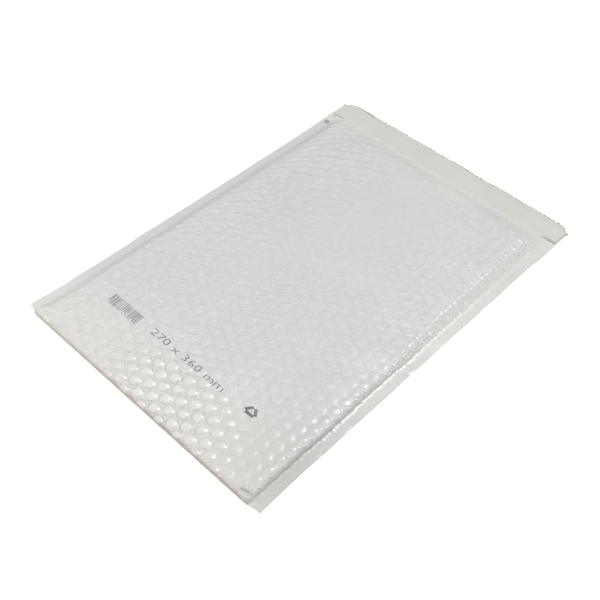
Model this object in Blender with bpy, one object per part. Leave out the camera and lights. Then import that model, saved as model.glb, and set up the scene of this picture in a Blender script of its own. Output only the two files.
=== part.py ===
"""Padded mailing envelope, empty and unsealed, lying on its back with its flap open.

A white film with a bubble sheet bonded to it is folded once at the bottom and welded down
both long sides. The back wall runs on past the mouth as the closing flap, which carries an
adhesive strip under a release liner. X runs across the envelope, Y from the bottom fold to
the flap, and Z upwards. The origin is on the underside, in the middle of the whole length.
All sizes are in metres.
"""
import math

import bmesh
import bpy
from mathutils import Vector
from mathutils.geometry import delaunay_2d_cdt

# Outline
WIDTH = 0.290
POUCH_LENGTH = 0.397
FLAP_LENGTH = 0.028
SEAM_WIDTH = 0.010
CORNER_CUT_ACROSS = 0.013
CORNER_CUT_ALONG = 0.0075

# Padded walls: thickness is measured over the bubbles, next to the side seams
THICKNESS = 0.008
CROWN = 0.001
SHOULDER_RADIUS = 0.003
TAPER_LENGTH = 0.020

# Bubble sheet
BUBBLE_PITCH = 0.0123
BUBBLE_DIAMETER = 0.0102
BUBBLE_HEIGHT = 0.0012

# Flat film
SEAM_THICKNESS = 0.0008
FLAP_THICKNESS = 0.0005
LIP_THICKNESS = 0.0008
LIP_LEAN = 0.0003
FOLD_CREASE = 0.0008

# Pocket between the walls
POCKET_GAP = 0.0007
POCKET_SIDE_WALL = 0.002
POCKET_END_WALL = 0.0035
MOUTH_SILL = 0.0003

# Closing strip on the flap
CLEARANCE = 0.0003
ADHESIVE_THICKNESS = 0.0004
ADHESIVE_MARGIN = 0.006
ADHESIVE_END = 0.006
LINER_THICKNESS = 0.0003
LINER_MARGIN = 0.0025
LINER_END = 0.001

# Mesh resolution away from the bubbles
PLAIN_SPANS = 8
TAPER_ROWS = 3
CUTTER_REACH = 0.006
MERGE_DISTANCE = 1e-7

# Worked out from the values above
LENGTH = POUCH_LENGTH + FLAP_LENGTH
HALF_WIDTH = WIDTH / 2
BOTTOM = -LENGTH / 2
MOUTH = BOTTOM + POUCH_LENGTH
LIP = MOUTH - LIP_LEAN
FLAP_EDGE = LENGTH / 2
TAPER_START = MOUTH - TAPER_LENGTH
WELD_LINE = HALF_WIDTH - SEAM_WIDTH
SHOULDER_TOP = WELD_LINE - SHOULDER_RADIUS
SHOULDER_MID = WELD_LINE - SHOULDER_RADIUS * (1 - math.cos(math.radians(45)))
FOLD_RADIUS = (THICKNESS - BUBBLE_HEIGHT) / 2
FOLD_MID = BOTTOM + FOLD_RADIUS * (1 - math.cos(math.radians(45)))
SILL_HEIGHT = FLAP_THICKNESS + MOUTH_SILL
LIP_HEIGHT = SILL_HEIGHT + POCKET_GAP + LIP_THICKNESS

# The bubbles stand in columns along Y, and every other column is moved on by half a pitch
BUBBLE_RADIUS = BUBBLE_DIAMETER / 2
ROW_STEP = BUBBLE_PITCH / 2
COLUMN_STEP = BUBBLE_PITCH * math.sqrt(3) / 2
OUTER_COLUMN = int((WELD_LINE - BUBBLE_RADIUS) / COLUMN_STEP)
BUBBLE_ROWS = int((TAPER_START - BOTTOM) / ROW_STEP)


def clear_scene():
    for old in list(bpy.data.objects):
        bpy.data.objects.remove(old, do_unlink=True)


def make_material(name, color, roughness):
    material = bpy.data.materials.new(name)
    material.use_nodes = True
    shader = material.node_tree.nodes["Principled BSDF"]
    shader.inputs["Base Color"].default_value = (*color, 1.0)
    shader.inputs["Roughness"].default_value = roughness
    shader.inputs["Metallic"].default_value = 0.0
    return material


def add_object(name, bm, material=None):
    """Turn a bmesh of one closed body into an object with its faces pointing out."""
    bmesh.ops.recalc_face_normals(bm, faces=bm.faces)
    mesh = bpy.data.meshes.new(name)
    bm.to_mesh(mesh)
    bm.free()
    obj = bpy.data.objects.new(name, mesh)
    bpy.context.scene.collection.objects.link(obj)
    if material is not None:
        mesh.materials.append(material)
    return obj


def swept_outline(name, outline, sweep, material=None):
    """A closed solid made by moving a flat outline along the sweep vector."""
    bm = bmesh.new()
    start = bm.faces.new([bm.verts.new(point) for point in outline])
    swept = bmesh.ops.extrude_face_region(bm, geom=[start])
    moved = [item for item in swept["geom"] if isinstance(item, bmesh.types.BMVert)]
    bmesh.ops.translate(bm, verts=moved, vec=sweep)
    return add_object(name, bm, material)


def bubble_centres():
    """Each bubble between the side seams, from the bottom fold to the start of the taper."""
    centres = []
    for row in range(1, BUBBLE_ROWS + 1):
        for column in range(-OUTER_COLUMN, OUTER_COLUMN + 1):
            if (row + column) % 2 == 0:
                centres.append((column * COLUMN_STEP, BOTTOM + row * ROW_STEP))
    return centres


def bubble(x, y):
    """1 on top of a bubble, falling to 0 at its rim and staying 0 between bubbles."""
    middle = round(x / COLUMN_STEP)
    nearest = BUBBLE_PITCH
    for column in range(middle - 1, middle + 2):
        stagger = column % 2
        row = 2 * round(((y - BOTTOM) / ROW_STEP - stagger) / 2) + stagger
        if abs(column) <= OUTER_COLUMN and 1 <= row <= BUBBLE_ROWS:
            off_x = x - column * COLUMN_STEP
            off_y = y - BOTTOM - row * ROW_STEP
            nearest = min(nearest, math.hypot(off_x, off_y))
    return max(0.0, 1 - (nearest / BUBBLE_RADIUS) ** 2)


def fullness(y):
    """1 along the padded walls, easing to 0 at the mouth, where the bubbles are pressed flat."""
    share = min(max((y - TAPER_START) / TAPER_LENGTH, 0.0), 1.0)
    return 0.5 + 0.5 * math.cos(math.pi * share)


def fold_reach(y):
    """How far each wall stands from the mid-plane, round at the bottom fold."""
    inset = min(y - BOTTOM, FOLD_RADIUS)
    return max(math.sqrt(max(FOLD_RADIUS ** 2 - (FOLD_RADIUS - inset) ** 2, 0.0)), FOLD_CREASE / 2)


def front_height(x, y):
    """Top of the front wall and its side seams, and beyond the mouth the top of the flap."""
    if y > MOUTH - LIP_LEAN / 2:
        return FLAP_THICKNESS
    inset = min(max((WELD_LINE - abs(x)) / SHOULDER_RADIUS, 0.0), 1.0)
    shoulder = math.sqrt(inset * (2 - inset))
    full = fullness(y)
    wall = LIP_HEIGHT + (FOLD_RADIUS + fold_reach(y) - LIP_HEIGHT) * full
    crown = CROWN * (1 - (x / WELD_LINE) ** 2) * math.sin(math.pi * (y - BOTTOM) / POUCH_LENGTH)
    relief = (crown + BUBBLE_HEIGHT * bubble(x, y)) * full
    return SEAM_THICKNESS + (wall + relief - SEAM_THICKNESS) * shoulder


def back_height(x, y):
    """Underside, pressed level where the envelope lies on it and round at the bottom fold."""
    inset = (SHOULDER_MID - abs(x)) / (SHOULDER_MID - SHOULDER_TOP)
    return (FOLD_RADIUS - fold_reach(y)) * min(max(inset, 0.0), 1.0)


def flap_half_width(y):
    """Half the flap's width, with its two outer corners cut off."""
    past_corner = max(y - (FLAP_EDGE - CORNER_CUT_ALONG), 0.0)
    return HALF_WIDTH - CORNER_CUT_ACROSS * past_corner / CORNER_CUT_ALONG


def across(y, half_width):
    """Evenly spaced points from left to right."""
    return [(half_width * (2 * index / PLAIN_SPANS - 1), y) for index in range(PLAIN_SPANS + 1)]


def along(x, start, end, step):
    """Points from start to end, a whole number of equal steps near the given one."""
    spans = max(round((end - start) / step), 1)
    return [(x, start + (end - start) * index / spans) for index in range(spans + 1)]


def full_width(y):
    """Points across the padded walls with the shoulder, weld line and film edge at each end."""
    side = [HALF_WIDTH, WELD_LINE, SHOULDER_MID]
    return [(-x, y) for x in side] + across(y, SHOULDER_TOP) + [(x, y) for x in reversed(side)]


def film_outline():
    """The whole film's outline, anticlockwise from the bottom left corner."""
    right = [(HALF_WIDTH, y) for y in (LIP, MOUTH, FLAP_EDGE - CORNER_CUT_ALONG)]
    left = [(-x, y) for x, y in reversed(right)]
    top = across(FLAP_EDGE, flap_half_width(FLAP_EDGE))
    return full_width(BOTTOM) + right + top[::-1] + left


def front_guides():
    """Lines that the front keeps sharp: shoulders, welds, the turn of the fold and the lip."""
    guides = [full_width(LIP), full_width(MOUTH), across(FOLD_MID, SHOULDER_TOP)]
    for x in (-WELD_LINE, -SHOULDER_MID, SHOULDER_MID, WELD_LINE):
        guides.append(along(x, BOTTOM, LIP, BUBBLE_PITCH))
    return guides


def front_points():
    """The top and the six-sided rim of each bubble, and the plain film round the bubbles."""
    points = []
    for x, y in bubble_centres():
        points.append((x, y))
        for corner in range(6):
            turn = math.radians(60 * corner)
            points.append((x + BUBBLE_RADIUS * math.cos(turn), y + BUBBLE_RADIUS * math.sin(turn)))
    columns = range(-OUTER_COLUMN, OUTER_COLUMN + 1)
    plain = [(column * COLUMN_STEP, BOTTOM + FOLD_RADIUS) for column in columns]
    plain += along(-SHOULDER_TOP, BOTTOM + ROW_STEP, TAPER_START, ROW_STEP)
    plain += along(SHOULDER_TOP, BOTTOM + ROW_STEP, TAPER_START, ROW_STEP)
    for step in range(1, TAPER_ROWS):
        plain += across(TAPER_START + TAPER_LENGTH * step / TAPER_ROWS, SHOULDER_TOP)
    return points + [(x, y) for x, y in plain if bubble(x, y) == 0]


def back_guides():
    """Lines across the back where its fold turns."""
    return [across(FOLD_MID, SHOULDER_TOP), across(BOTTOM + FOLD_RADIUS, SHOULDER_TOP)]


def add_sheet(bm, height, guides, loose):
    """Add a sheet of triangles over the film's outline, and return the vertices of its rim.

    Edges of the triangles follow the guides, and the loose points only have to be corners.
    """
    outline = film_outline()
    points = list(outline)
    edges = [(index, (index + 1) % len(outline)) for index in range(len(outline))]
    for guide in guides:
        first = len(points)
        points += guide
        edges += [(index, index + 1) for index in range(first, len(points) - 1)]
    points += loose
    flat = [Vector(point) for point in points]
    placed, _, triangles, sources, _, _ = delaunay_2d_cdt(flat, edges, [], 0, MERGE_DISTANCE)
    verts = [bm.verts.new((place.x, place.y, height(place.x, place.y))) for place in placed]
    for corners in triangles:
        bm.faces.new([verts[corner] for corner in corners])
    found = {source: new for new, merged in enumerate(sources) for source in merged}
    return [verts[found[index]] for index in range(len(outline))]


def make_pouch(material):
    """Front and underside as two sheets, closed round their common outline."""
    bm = bmesh.new()
    upper = add_sheet(bm, front_height, front_guides(), front_points())
    lower = add_sheet(bm, back_height, back_guides(), [])
    for index in range(len(upper)):
        after = (index + 1) % len(upper)
        bm.faces.new((lower[index], lower[after], upper[after], upper[index]))
    pouch = add_object("bubble_pouch", bm, material)
    cut_pocket(pouch)
    return pouch


def cut_pocket(pouch):
    """Open the pocket between the walls, from the bottom fold out through the mouth."""
    half_width = WELD_LINE - POCKET_SIDE_WALL
    floor = [
        (BOTTOM + POCKET_END_WALL, FOLD_RADIUS - POCKET_GAP / 2),
        (TAPER_START, FOLD_RADIUS - POCKET_GAP / 2),
        (MOUTH, SILL_HEIGHT),
        (MOUTH + CUTTER_REACH, SILL_HEIGHT),
    ]
    ceiling = [(y, z + POCKET_GAP) for y, z in reversed(floor)]
    outline = [(-half_width, y, z) for y, z in floor + ceiling]
    cutter = swept_outline("pocket_cutter", outline, Vector((2 * half_width, 0, 0)))
    cutter.hide_render = True
    cutter.display_type = "WIRE"
    cut = pouch.modifiers.new("pocket", "BOOLEAN")
    cut.operation = "DIFFERENCE"
    cut.solver = "EXACT"
    cut.object = cutter


def make_adhesive(material):
    """The band of tacky adhesive along the flap."""
    near = MOUTH + ADHESIVE_MARGIN
    far = FLAP_EDGE - ADHESIVE_MARGIN
    half = flap_half_width(far) - ADHESIVE_END
    height = FLAP_THICKNESS + CLEARANCE
    outline = [(-half, near, height), (half, near, height), (half, far, height), (-half, far, height)]
    return swept_outline("adhesive_strip", outline, Vector((0, 0, ADHESIVE_THICKNESS)), material)


def make_liner(material):
    """The peel-off paper over the adhesive, cut to the flap's own outline."""
    stations = (
        MOUTH + LINER_MARGIN,
        FLAP_EDGE - max(CORNER_CUT_ALONG, LINER_MARGIN),
        FLAP_EDGE - min(CORNER_CUT_ALONG, LINER_MARGIN),
    )
    height = FLAP_THICKNESS + 2 * CLEARANCE + ADHESIVE_THICKNESS
    right = [(flap_half_width(y) - LINER_END, y, height) for y in stations]
    left = [(-x, y, z) for x, y, z in reversed(right)]
    return swept_outline("release_liner", right + left, Vector((0, 0, LINER_THICKNESS)), material)


def main():
    clear_scene()
    make_pouch(make_material("white_film", (0.78, 0.78, 0.77), 0.38))
    make_adhesive(make_material("amber_adhesive", (0.62, 0.47, 0.22), 0.30))
    make_liner(make_material("cream_liner", (0.74, 0.72, 0.66), 0.45))


main()
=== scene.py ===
import math

import bmesh
import bpy
import numpy as np
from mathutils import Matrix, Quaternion, Vector


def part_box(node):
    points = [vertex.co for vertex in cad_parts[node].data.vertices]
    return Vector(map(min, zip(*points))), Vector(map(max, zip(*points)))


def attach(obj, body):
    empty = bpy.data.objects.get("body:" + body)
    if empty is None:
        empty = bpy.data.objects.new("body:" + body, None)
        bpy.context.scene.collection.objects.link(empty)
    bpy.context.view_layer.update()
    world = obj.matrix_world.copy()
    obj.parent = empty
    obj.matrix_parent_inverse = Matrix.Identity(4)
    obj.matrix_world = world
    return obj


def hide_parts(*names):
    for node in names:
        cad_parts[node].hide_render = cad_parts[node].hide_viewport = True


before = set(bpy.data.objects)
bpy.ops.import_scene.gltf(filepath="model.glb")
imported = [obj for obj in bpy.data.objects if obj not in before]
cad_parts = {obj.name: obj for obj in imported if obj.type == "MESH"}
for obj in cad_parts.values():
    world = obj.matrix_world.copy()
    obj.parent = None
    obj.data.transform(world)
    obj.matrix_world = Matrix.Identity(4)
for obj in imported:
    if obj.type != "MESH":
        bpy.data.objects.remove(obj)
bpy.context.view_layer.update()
low, high = (np.array(corner, float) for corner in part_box("bubble_pouch"))
mm = 0.001
print("frame loaded")

# Film coordinates: u runs across from -halfWidth to halfWidth, s along from the bottom fold
# to the flap's outer edge, both in metres. w is the same as s but goes on round the fold.
halfWidth = high[0]
wholeLength = high[1] - low[1]

film = {
    "weldLeft": 135 * mm,       # where the padding ends on each side of the middle
    "weldRight": 133.4 * mm,
    "mouth": 397 * mm,          # where the front wall ends
    "taper": 20 * mm,           # the padding thins out before the mouth
    "thickness": 8 * mm,        # both walls, over the bubbles
    "crown": 0.5 * mm,
    "slow": 0.25 * mm,          # slow waves over the whole front
    "seamTop": 0.8 * mm,
    "seamMiddle": 0.4 * mm,     # where the two walls meet in the seam
    "seamGap": 0.05 * mm,
    "lip": 1.5 * mm,
    "lipFilm": 0.35 * mm,
    "pocketGap": 0.6 * mm,
    "flap": 0.5 * mm,
    "cornerAcross": 13 * mm,    # the flap's corners are cut off
    "cornerAlong": 7.5 * mm,
    "waistLeft": 2.0 * mm,      # the seams are drawn in along the padding
    "waistRight": 1.0 * mm,
    "cornerTuck": 2.6 * mm,     # the seams' bottom corners sit back from the fold
}

# The bottom fold: a blunt face that rises from a low nose
fold = {"reach": 3.2 * mm, "nose": 2.3 * mm}

bubbles = {
    "pitch": 12.3 * mm,
    "shiftAcross": -0.35 * mm,  # where the lattice starts
    "shiftAlong": 6.9 * mm,
    "edgeRoom": 5.1 * mm,       # from the outermost bubbles' middles to the weld line
    "radius": 5.8 * mm,
    "height": 1.5 * mm,
    "counted": 0.9,             # share of the height that counts in the wall's thickness
    "rim": 2.2 * mm,
    "tilt": 0.05,
    "dent": 0.35 * mm,
    "dentRadius": 1.7 * mm,
    "dentSlip": 3.6 * mm,
    "pressed": 0.72,            # share of the height that the back wall's bubbles keep
    "backFirmness": 0.85,
    "seed": 5,
    "seedRows": 90,             # rows of bubbles before their random shapes repeat
}


def quarterTurn(reach, rise):
    # about the length of a quarter of an oval
    return math.pi / 2 * math.hypot(reach, rise) / math.sqrt(2)


weld = film["weldRight"]
mouth = film["mouth"]
seam = halfWidth - weld
rowStep = bubbles["pitch"] / 2
columnStep = bubbles["pitch"] * math.sqrt(3) / 2
outerColumn = int((weld - bubbles["edgeRoom"]) / columnStep)
betweenTop = film["thickness"] - bubbles["counted"] * bubbles["height"]  # film between the bubbles
foldFront = quarterTurn(fold["reach"], betweenTop - fold["nose"])  # film length over the nose
foldBack = quarterTurn(fold["reach"], fold["nose"])  # and under it


def easeStep(t):
    # 0 to 1 with level ends
    t = np.clip(t, 0, 1)
    return t * t * (3 - 2 * t)


def ramp(x, start, run):
    # 0 up to the start, then easing to 1 over the run, both in mm
    return easeStep((x - start * mm) / (run * mm))


def fade(x, start, run):
    # 1 up to the start, then easing to 0 over the run, both in mm
    return 1 - ramp(x, start, run)


def hump(t):
    # a smooth bell, 1 at t = 0 and close to nothing past t = 2
    return np.exp(-t * t)


def bell(x, middle, width):
    # a hump round the middle, both in mm
    return hump((x - middle * mm) / (width * mm))


def softWaves(u, s, seed, count, shortest, longest):
    # the sum of a few plane waves with random direction, length and phase, about -1 to 1.
    # The shortest and longest wave are in mm
    rng = np.random.default_rng(seed)
    total = np.zeros(np.broadcast(u, s).shape)
    for turn, phase, share in rng.random((count, 3)):
        length = shortest * mm * (longest / shortest) ** share
        angle = math.pi * turn
        way = u * math.cos(angle) + s * math.sin(angle)
        total += np.sin(2 * math.pi * (way / length + phase))
    return total / math.sqrt(count)


def nearestBubble(u, w):
    # distance to the nearest bubble's centre, the offset from it, and its column and row
    u = u - bubbles["shiftAcross"]
    w = w - bubbles["shiftAlong"]
    middle = np.round(u / columnStep)
    best = np.full(np.broadcast(u, w).shape, 1.0)
    offU, offW, columns, rows = (np.zeros(best.shape) for _ in range(4))
    for step in (-1, 0, 1):
        column = np.clip(middle + step, -outerColumn, outerColumn)
        stagger = np.mod(column, 2)
        row = 2 * np.round((w / rowStep - stagger) / 2) + stagger
        du = u - column * columnStep
        dw = w - row * rowStep
        distance = np.hypot(du, dw)
        closer = distance < best
        best = np.where(closer, distance, best)
        offU = np.where(closer, du, offU)
        offW = np.where(closer, dw, offW)
        columns = np.where(closer, column, columns)
        rows = np.where(closer, row, rows)
    return best, offU, offW, columns.astype(int), rows.astype(int)


def bubbleRelief(u, w, firmness, seed):
    # each bubble is a low dome with a steeper rim and an off-centre dent, and its size, height,
    # tilt and dent are its own
    distance, offU, offW, columns, rows = nearestBubble(u, w)
    own = np.random.default_rng(seed).random((6, 2 * outerColumn + 1, bubbles["seedRows"]))
    cell = own[:, columns + outerColumn, np.mod(rows, bubbles["seedRows"])]
    radius = bubbles["radius"] * (0.95 + 0.07 * cell[0])
    height = bubbles["height"] * (0.70 + 0.34 * cell[0])
    rim = easeStep((radius - distance) / bubbles["rim"])
    dome = np.clip(1 - (distance / radius) ** 2, 0, 1)
    tilt = bubbles["tilt"] * ((cell[1] - 0.5) * offU + (cell[2] - 0.5) * offW)
    slipU = offU - (cell[3] - 0.5) * bubbles["dentSlip"]
    slipW = offW - (cell[4] - 0.5) * bubbles["dentSlip"]
    dent = bubbles["dent"] * cell[5] * hump(np.hypot(slipU, slipW) / bubbles["dentRadius"])
    return firmness * (height * (0.15 * rim + 0.85 * dome) + rim * (tilt - dent))


def firmnessAt(u, s):
    # how tightly the film is drawn down round the bubbles over the front
    foldSide = bell(u, 25, 95) * hump(np.maximum(s - 26 * mm, 0) / (34 * mm))
    foldSide = foldSide * (1 - 0.75 * easeStep((u - 85 * mm + 0.8 * (s - 12 * mm)) / (35 * mm)))
    rightEdge = hump((u - weld + 6 * mm) / (5 * mm))
    patches = softWaves(u, s, 31, 6, 60, 150)
    rightEdge = rightEdge * (1 - 0.85 * ramp(s, 190, 60))
    slack = 0.20 - 0.14 * easeStep((s - 80 * mm + 0.5 * u) / (150 * mm))
    return np.clip(slack + 0.84 * foldSide + 0.5 * rightEdge + 0.03 * patches, 0.03, 1.1)


def smoothAt(u, s):
    # 1 over the upper middle, where the film lies smooth
    return hump(np.hypot((u - 15 * mm) / (75 * mm), (s - 300 * mm) / (130 * mm)))


def ringsAt(u, s):
    # how clearly the edge of each bubble shows through the film, as a groove with painted shade: at the
    # edge bubbles on the right the arcs take over
    loose = 0.56 * (1 - 0.85 * smoothAt(u, s)) * (1 - 0.5 * slackAt(u, s))
    plain = np.maximum(firmnessAt(u, s), loose)
    return np.clip(plain * (1 - 0.65 * gathersAt(u, s)), 0, 1)


def crescentsAt(u, s):
    # how clearly the film's small inner folds show over the bubbles, as bumps with painted highlights
    low = fade(s, 40, 200)
    right = ramp(u, 40, 60) * (1 - low)
    plain = 0.65 * (1 - 0.9 * smoothAt(u, s)) + 0.25 * low + 0.4 * right
    return np.clip(plain + 0.4 * firmnessAt(u, s), 0, 1)


def gathersAt(u, s):
    # where the film turns down over the outermost bubbles on the right, in close arcs with painted shade and
    # highlights
    inset = weldAt(u, s) - u
    band = easeStep((7 * mm - inset) / (3 * mm)) * ramp(inset, -0.5, 1.5)
    return band * (1 - 0.6 * ramp(s, 190, 90))


def weldAt(u, s):
    # distance from the middle to the weld line, which wavers with the bubbles beside it
    side = np.sign(u)
    phase = softWaves(0 * u, s, 83, 3, 50, 140)
    waver = np.sin(2 * math.pi * s / bubbles["pitch"] + 1.1 * side + phase)
    line = np.where(side < 0, film["weldLeft"], film["weldRight"])
    return line - np.where(side < 0, 1.2 * mm, 0.5 * mm) * (0.5 + 0.5 * waver) - 0.4 * mm * phase


def shoulderAt(u, s):
    # 0 on the seam and 1 over the padding: round and steep at the lower right, long and soft
    # at the left and towards the mouth
    inset = weldAt(u, s) - np.abs(u)
    steep = np.where(u > 0, 1 - 0.75 * ramp(s, 120, 160), 0.15)
    steep = np.maximum(steep, bell(s, 0, 9))
    wide = 2.8 * mm + 9 * mm * (1 - steep)
    t = np.clip(inset / wide, 0, 1)
    return steep * np.sqrt(t * (2 - t)) + (1 - steep) * easeStep(t)


def padding(s):
    # 1 where the bubbles are full, easing to 0 at the mouth
    return 1 - easeStep((s - (mouth - film["taper"])) / film["taper"])


def halfWidthAt(u, s):
    # half the film's width on each side: drawn in along the padding, cut off at the flap's corners
    fullest = ramp(s, 0, 38) * fade(s, 352, 34)
    drawn = np.where(u < 0, film["waistLeft"], film["waistRight"]) * fullest
    drawn = drawn + 0.25 * mm * softWaves(np.sign(u) * 0.3, s, 97, 4, 25, 90)
    corner = np.clip((s - (wholeLength - film["cornerAlong"])) / film["cornerAlong"], 0, 1)
    return halfWidth - 0.3 * mm - np.maximum(drawn, -0.3 * mm) - film["cornerAcross"] * corner


def freeEdgeLift(u, s):
    # how far the free edges of the seams and the flap curl up off the table
    waves = softWaves(u, s, 47, 5, 30, 110)
    outward = np.clip((np.abs(u) - weld - 1 * mm) / seam, 0, 1)
    hem = np.clip((s - mouth) / (28 * mm), 0, 1)
    return np.maximum(outward ** 1.5 * (0.35 + 0.4 * waves), hem ** 2 * (0.45 + 0.4 * waves)).clip(0) * mm


def foldBow(u, s):
    # the fold stands out most at the left, and the seams' bottom corners sit back from it
    side = easeStep((np.abs(u) - weldAt(u, s) + 4 * mm) / (12 * mm))
    bulge = 0.6 * mm - 0.0065 * u
    return bell(s, 0, 14) * (film["cornerTuck"] * side - bulge * (1 - side))


def placed(u, s, z):
    # film coordinates to the object's own: x across, y along, z up
    x = u * halfWidthAt(u, s) / halfWidth
    return np.stack([x, s + foldBow(u, s) + low[1], z + freeEdgeLift(u, s)], axis=-1)


def seamRelief(u, s):
    # the flat band: a crimped bead beside the padding, then level film with slow waves
    beyond = np.abs(u) - weldAt(u, s)
    waves = softWaves(u, s, 49, 5, 12, 60)
    crimps = 0.75 + 0.65 * np.sin(2 * math.pi * s / (3.7 * mm) + 3 * waves)
    size = np.where(u > 0, 0.24 * mm, 0.10 * mm)
    bead = size * crimps * bell(beyond, 1.2, 0.9)
    return bead + 0.05 * mm * waves * np.clip(beyond / (4 * mm), 0, 1)


def edgeStreaks(u, s):
    # short tucks that run in from the right seam along its upper two thirds
    inset = weldAt(u, s) - u
    band = easeStep((26 * mm - inset) / (18 * mm)) * ramp(inset, 0, 2)
    wander = softWaves(u, s, 61, 4, 15, 60)
    phase = (s + 0.42 * (u - weld)) / rowStep + 0.3 * wander
    ridge = np.abs(np.sin(math.pi * phase)) ** 0.7 - 0.6
    return 0.40 * mm * ridge * band * ramp(s, 150, 80)


def mouthGathers(u, s):
    # lengthwise streaks where the bubbles were pressed flat before the mouth
    band = ramp(s - mouth, -32, 12) * fade(s - mouth, -8, 8)
    phase = softWaves(u, s, 67, 5, 20, 70)
    streaks = np.sin(2 * math.pi * (u + 0.5 * s) / (4.3 * mm) + 1.8 * phase)
    return band * (0.26 * mm * streaks * (0.75 + 0.25 * phase) + 0.15 * mm * phase)


def rowRipples(u, s):
    # where the film is slack it bridges whole rows of bubbles: narrow valleys between the rows,
    # which turn to run with the weld line at the left
    bend = 22 * mm * hump((u + film["weldLeft"]) / (18 * mm))
    across = -0.5 * u + math.sqrt(3) / 2 * s + bend
    along = math.sqrt(3) / 2 * u + 0.5 * s
    across = across + 0.8 * mm * np.cos(2 * math.pi * along / bubbles["pitch"])
    wander = softWaves(u, s, 71, 5, 40, 120)
    broken = 0.75 + 0.25 * softWaves(u, s, 72, 6, 9, 30)
    wave = 0.5 + 0.5 * np.cos(2 * math.pi * across / columnStep + 0.7 * wander)
    return (wave ** 0.6 - 0.6) * broken


def slackAt(u, s):
    # 1 at the left, where the film bridges the rows, falling off to the right and to the fold
    side = easeStep(0.25 - u / (150 * mm) + (s - 260 * mm) / (900 * mm))
    return side * (0.5 + 0.5 * ramp(s, 50, 120))


def cornerCrumple(u, s):
    # small sharp folds at the bottom right corner, where the fold, seam and padding meet
    near = hump(np.hypot((u - 129 * mm) / (8 * mm), (s - 6 * mm) / (9 * mm)))
    return near * (1.1 * mm * np.abs(softWaves(u, s, 19, 5, 5, 11)) - 0.9 * mm)


def frontSkin(u, s):
    # height of the front wall over its flat part, with the taper, shoulders and all its relief
    full = padding(s)
    body = ramp(weldAt(u, s) - np.abs(u), 0, 3)
    level = film["lip"] + (betweenTop - film["lip"]) * full
    crown = film["crown"] * (1 - (u / weld) ** 2) * np.sin(math.pi * np.clip(s / mouth, 0, 1))
    slow = film["slow"] * softWaves(u, s, 23, 7, 45, 160)
    relief = bubbleRelief(u, s, firmnessAt(u, s), bubbles["seed"]) * (0.12 + 0.88 * full)
    ripples = 0.46 * mm * rowRipples(u, s) * slackAt(u, s)
    detail = relief + (crown + slow + ripples + edgeStreaks(u, s)) * full
    detail = detail + mouthGathers(u, s) + cornerCrumple(u, s)
    rise = (level - film["seamTop"]) * shoulderAt(u, s)
    return film["seamTop"] + seamRelief(u, s) + rise + detail * body


def backSkin(u, w, s):
    # height of the back wall's underside: its bubbles bear on the table and are pressed flat there
    shoulder = ramp(weld - np.abs(u), 1, 4)
    relief = bubbleRelief(u, w, bubbles["backFirmness"] + 0 * u * s, bubbles["seed"] + 1)
    top = bubbles["pressed"] * bubbles["height"]
    return (top - np.minimum(relief, top)) * shoulder * padding(s)


def insidePocket(u):
    # 1 over the pocket, falling to 0 at the welds
    return np.clip((weld - 2 * mm - np.abs(u)) / (3 * mm), 0, 1)


def acrossStations(step, fineStep, seamSteps):
    # places across the film: even over the padding, closer at the shoulders, even on the seams
    inner = weld - 6 * mm
    turnWidth = 8.4 * mm
    pad = np.linspace(-inner, inner, int(2 * inner / step) + 1)
    turn = np.linspace(inner, inner + turnWidth, int(turnWidth / fineStep) + 1)[1:]
    flat = np.linspace(inner + turnWidth, halfWidth, seamSteps + 1)[1:]
    side = np.concatenate([turn, flat])
    return np.concatenate([-side[::-1], pad, side])


def newPiece(name, points, faces, material, sharpAngle=50):
    mesh = bpy.data.meshes.new(name)
    mesh.from_pydata(points, [], faces)
    mesh.materials.append(material)
    mesh.update()
    mesh.shade_smooth()
    mesh.set_sharp_from_angle(angle=math.radians(sharpAngle))
    piece = bpy.data.objects.new(name, mesh)
    bpy.context.scene.collection.objects.link(piece)
    return piece


def ringQuads(rings, around):
    # the numbers of the points in each ring, and the faces between each ring and the next
    index = np.arange(rings * around).reshape(rings, around)
    after = np.roll(index, -1, axis=1)
    return index, np.stack([index[:-1], index[1:], after[1:], after[:-1]], axis=-1).reshape(-1, 4)


def zipEnd(outer, outerWay, inner, innerWay):
    # triangles that close the gap between two chains of points: each step forward on one chain
    # takes the last point already passed on the other
    passed = np.clip(np.searchsorted(innerWay, outerWay[1:], "left") - 1, 0, None)
    ahead = np.stack([outer[:-1], outer[1:], inner[passed]], axis=-1)
    passed = np.clip(np.searchsorted(outerWay, innerWay[1:], "right") - 1, 0, None)
    behind = np.stack([inner[1:], inner[:-1], outer[passed]], axis=-1)
    return np.concatenate([ahead, behind])


def shellMesh(name, outer, inner, outerWay, innerWay, material, marks=None):
    # a closed shell between two sheets of points, each of shape (columns, rows, 3): the rows run
    # the same way on both, and a way value for each row says how far along it lies.
    # marks holds three values for each point of the two sheets, for the material to read
    points = np.concatenate([outer, inner[:, ::-1]], axis=1)
    index, quads = ringQuads(*points.shape[:2])
    rows = outer.shape[1]
    ends = [zipEnd(index[k, :rows], outerWay, index[k, rows:][::-1], innerWay) for k in (0, -1)]
    triangles = np.concatenate([ends[0], ends[1][:, ::-1]])
    flat = points.reshape(-1, 3)
    a, b, c, d = (flat[quads[:, k]] for k in range(4))
    volume = np.einsum("ij,ij->", a, np.cross(b, c) + np.cross(c, d))
    if volume < 0:
        quads = quads[:, ::-1]
        triangles = triangles[:, ::-1]
    piece = newPiece(name, flat, quads.tolist() + triangles.tolist(), material)
    for markName, (outerValues, innerValues) in (marks or {}).items():
        values = np.concatenate([outerValues, innerValues[:, ::-1]], axis=1).astype(np.float32)
        mark = piece.data.attributes.new(markName, "FLOAT_VECTOR", "POINT")
        mark.data.foreach_set("vector", values.ravel())
    return piece


def triple(first, second, third):
    # three values for each point
    return np.stack(np.broadcast_arrays(first, second, third), axis=-1)


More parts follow.
